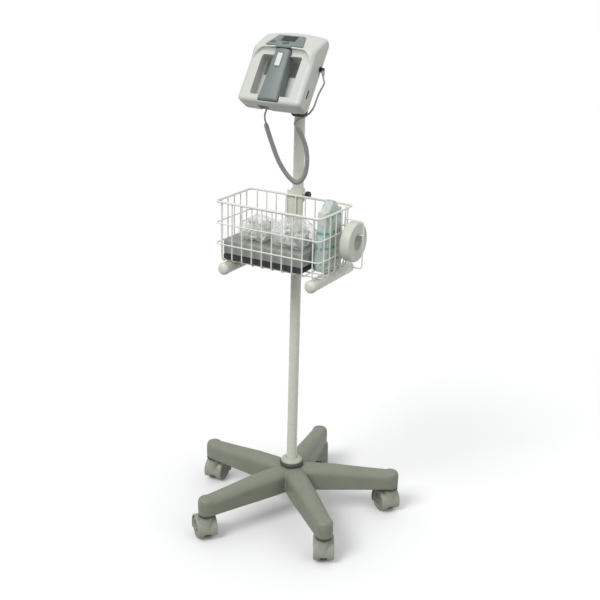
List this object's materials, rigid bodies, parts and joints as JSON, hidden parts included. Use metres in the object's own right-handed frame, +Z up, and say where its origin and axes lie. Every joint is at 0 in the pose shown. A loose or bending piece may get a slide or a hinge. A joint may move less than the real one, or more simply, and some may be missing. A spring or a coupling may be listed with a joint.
{
  "type": "ward monitor on a roll stand",
  "caption": "Handheld thermometer console with a lift-out handset on a curly cord, tilting on a pole with a wire basket and a castored star base.",
  "frame": {"origin": "on the floor under the middle of the outline", "axes": "+Z up, the console and basket face -Y, +X is to the right seen from the front"},
  "size_m": [0.5225, 0.56, 1.2037],
  "materials": {
    "grey_nylon": "fine satin grain",
    "grey_hood": "satin",
    "wheel": "satin",
    "steel": "zinc plated",
    "dark_plastic": "satin",
    "light_plastic": "satin",
    "white_powder": "gloss powder coat",
    "white_plastic": "semi gloss",
    "black_plastic": "satin",
    "cover_grey": "fine grain",
    "bag": "thin translucent film round light goods",
    "pack": "printed film round light goods",
    "ring_white": "satin",
    "case": "fine satin grain",
    "trim": "satin",
    "key": "satin",
    "lens": "smooth acrylic",
    "lcd": "satin",
    "board": "solder mask",
    "battery": "shrink sleeve",
    "button": "satin",
    "cord": "satin"
  },
  "bodies": {
    "stand": {"star_base": "grey_nylon", "hub_ring": "dark_plastic", "hub_collar": "light_plastic", "pole": "white_powder", "basket": "white_powder", "basket_bracket": "white_powder", "pole_clamp": "white_powder", "support_frame": "white_powder", "tube_cap_left": "white_plastic", "tube_cap_right": "white_plastic", "frame_clamp": "white_powder", "unit_base": "black_plastic", "unit_cover": "cover_grey", "refill_bag_left": "bag", "refill_bag_right": "bag", "cover_pack": "pack", "side_loop": "white_powder"},
    "clamp_knob": {"clamp_screw": "black_plastic"},
    "ring": {"refill_ring": "ring_white"},
    "swivel_1": {"caster_hood_1": "grey_hood", "caster_stem_1": "steel"},
    "wheels_1": {"caster_wheels_1": "wheel"},
    "swivel_2": {"caster_hood_2": "grey_hood", "caster_stem_2": "steel"},
    "wheels_2": {"caster_wheels_2": "wheel"},
    "swivel_3": {"caster_hood_3": "grey_hood", "caster_stem_3": "steel"},
    "wheels_3": {"caster_wheels_3": "wheel"},
    "swivel_4": {"caster_hood_4": "grey_hood", "caster_stem_4": "steel"},
    "wheels_4": {"caster_wheels_4": "wheel"},
    "swivel_5": {"caster_hood_5": "grey_hood", "caster_stem_5": "steel"},
    "wheels_5": {"caster_wheels_5": "wheel"},
    "neck": {"neck": "black_plastic"},
    "lock_knob": {"lock_knob": "black_plastic"},
    "tilt_knob": {"tilt_knob": "black_plastic"},
    "head": {"front_case": "case", "rear_case": "case", "battery_door": "case", "battery_pack": "battery", "display_panel": "trim", "lcd_window": "lens", "lcd_module": "lcd", "main_board": "board", "jack": "black_plastic", "jack_plug": "black_plastic", "tilt_bracket": "black_plastic", "port_cover": "dark_plastic", "cord_stub": "cord", "cord_coil": "cord", "cord_lead": "cord"},
    "power_key": {"power_key": "key"},
    "select_key": {"select_key": "key"},
    "handset": {"handset_top": "trim", "handset_back": "trim", "handset_board": "board", "probe_nose": "dark_plastic", "handset_relief": "black_plastic"},
    "measure_button": {"measure_button": "button"}
  },
  "joints": [
    {"name": "clamp_knob_turn", "type": "hinge", "parent": "stand", "child": "clamp_knob", "pos_m": [0.0414, -0.021, 0.8385], "axis": [1, 0, 0], "continuous": true},
    {"name": "ring_swing", "type": "hinge", "parent": "stand", "child": "ring", "pos_m": [0.2016, -0.085, 0.785], "axis": [1, 0, 0], "range_deg": [-20, 20]},
    {"name": "caster_swivel_1", "type": "hinge", "parent": "stand", "child": "swivel_1", "pos_m": [0.23742, 0.10849, 0.0665], "axis": [0, 0, 1], "continuous": true},
    {"name": "caster_roll_1", "type": "hinge", "parent": "swivel_1", "child": "wheels_1", "pos_m": [0.22267, 0.11881, 0.0275], "axis": [-0.5736, -0.8192, 0], "continuous": true},
    {"name": "caster_swivel_2", "type": "hinge", "parent": "stand", "child": "swivel_2", "pos_m": [-0.03624, 0.22617, 0.0665], "axis": [0, 0, 1], "continuous": true},
    {"name": "caster_roll_2", "type": "hinge", "parent": "swivel_2", "child": "wheels_2", "pos_m": [-0.04524, 0.24176, 0.0275], "axis": [-0.866, -0.5, 0], "continuous": true},
    {"name": "caster_swivel_3", "type": "hinge", "parent": "stand", "child": "swivel_3", "pos_m": [-0.23273, 0.00227, 0.0665], "axis": [0, 0, 1], "continuous": true},
    {"name": "caster_roll_3", "type": "hinge", "parent": "swivel_3", "child": "wheels_3", "pos_m": [-0.2343, 0.02021, 0.0275], "axis": [-0.9962, -0.0872, 0], "continuous": true},
    {"name": "caster_swivel_4", "type": "hinge", "parent": "stand", "child": "swivel_4", "pos_m": [-0.08051, -0.25379, 0.0665], "axis": [0, 0, 1], "continuous": true},
    {"name": "caster_roll_4", "type": "hinge", "parent": "swivel_4", "child": "wheels_4", "pos_m": [-0.0943, -0.24222, 0.0275], "axis": [-0.6428, -0.766, 0], "continuous": true},
    {"name": "caster_swivel_5", "type": "hinge", "parent": "stand", "child": "swivel_5", "pos_m": [0.21006, -0.18814, 0.0665], "axis": [0, 0, 1], "continuous": true},
    {"name": "caster_roll_5", "type": "hinge", "parent": "swivel_5", "child": "wheels_5", "pos_m": [0.20106, -0.17256, 0.0275], "axis": [-0.866, -0.5, 0], "continuous": true},
    {"name": "head_swivel", "type": "hinge", "parent": "stand", "child": "neck", "pos_m": [0.0196, -0.021, 1.019], "axis": [0, 0, 1], "continuous": true},
    {"name": "lock_knob_turn", "type": "hinge", "parent": "neck", "child": "lock_knob", "pos_m": [0.0196, -0.044, 1.029], "axis": [0, 1, 0], "continuous": true},
    {"name": "tilt_knob_turn", "type": "hinge", "parent": "neck", "child": "tilt_knob", "pos_m": [0.0196, -0.06622, 1.07193], "axis": [1, 0, 0], "continuous": true},
    {"name": "head_tilt", "type": "hinge", "parent": "neck", "child": "head", "pos_m": [0.0196, -0.06622, 1.07193], "axis": [1, 0, 0], "range_deg": [-20, 12]},
    {"name": "power_key_press", "type": "slide", "parent": "head", "child": "power_key", "axis": [0, 0.4261, -0.9047], "range_m": [0, 0.001], "stiffness_N_per_m": 900, "springref_m": -0.0005},
    {"name": "select_key_press", "type": "slide", "parent": "head", "child": "select_key", "axis": [0, 0.4261, -0.9047], "range_m": [0, 0.001], "stiffness_N_per_m": 900, "springref_m": -0.0005},
    {"name": "handset_lift", "type": "slide", "parent": "head", "child": "handset", "axis": [0, -0.8329, 0.5534], "range_m": [0, 0.045]},
    {"name": "measure_press", "type": "slide", "parent": "handset", "child": "measure_button", "axis": [0, 0.8329, -0.5534], "range_m": [0, 0.0012], "stiffness_N_per_m": 900, "springref_m": -0.0005}
  ]
}
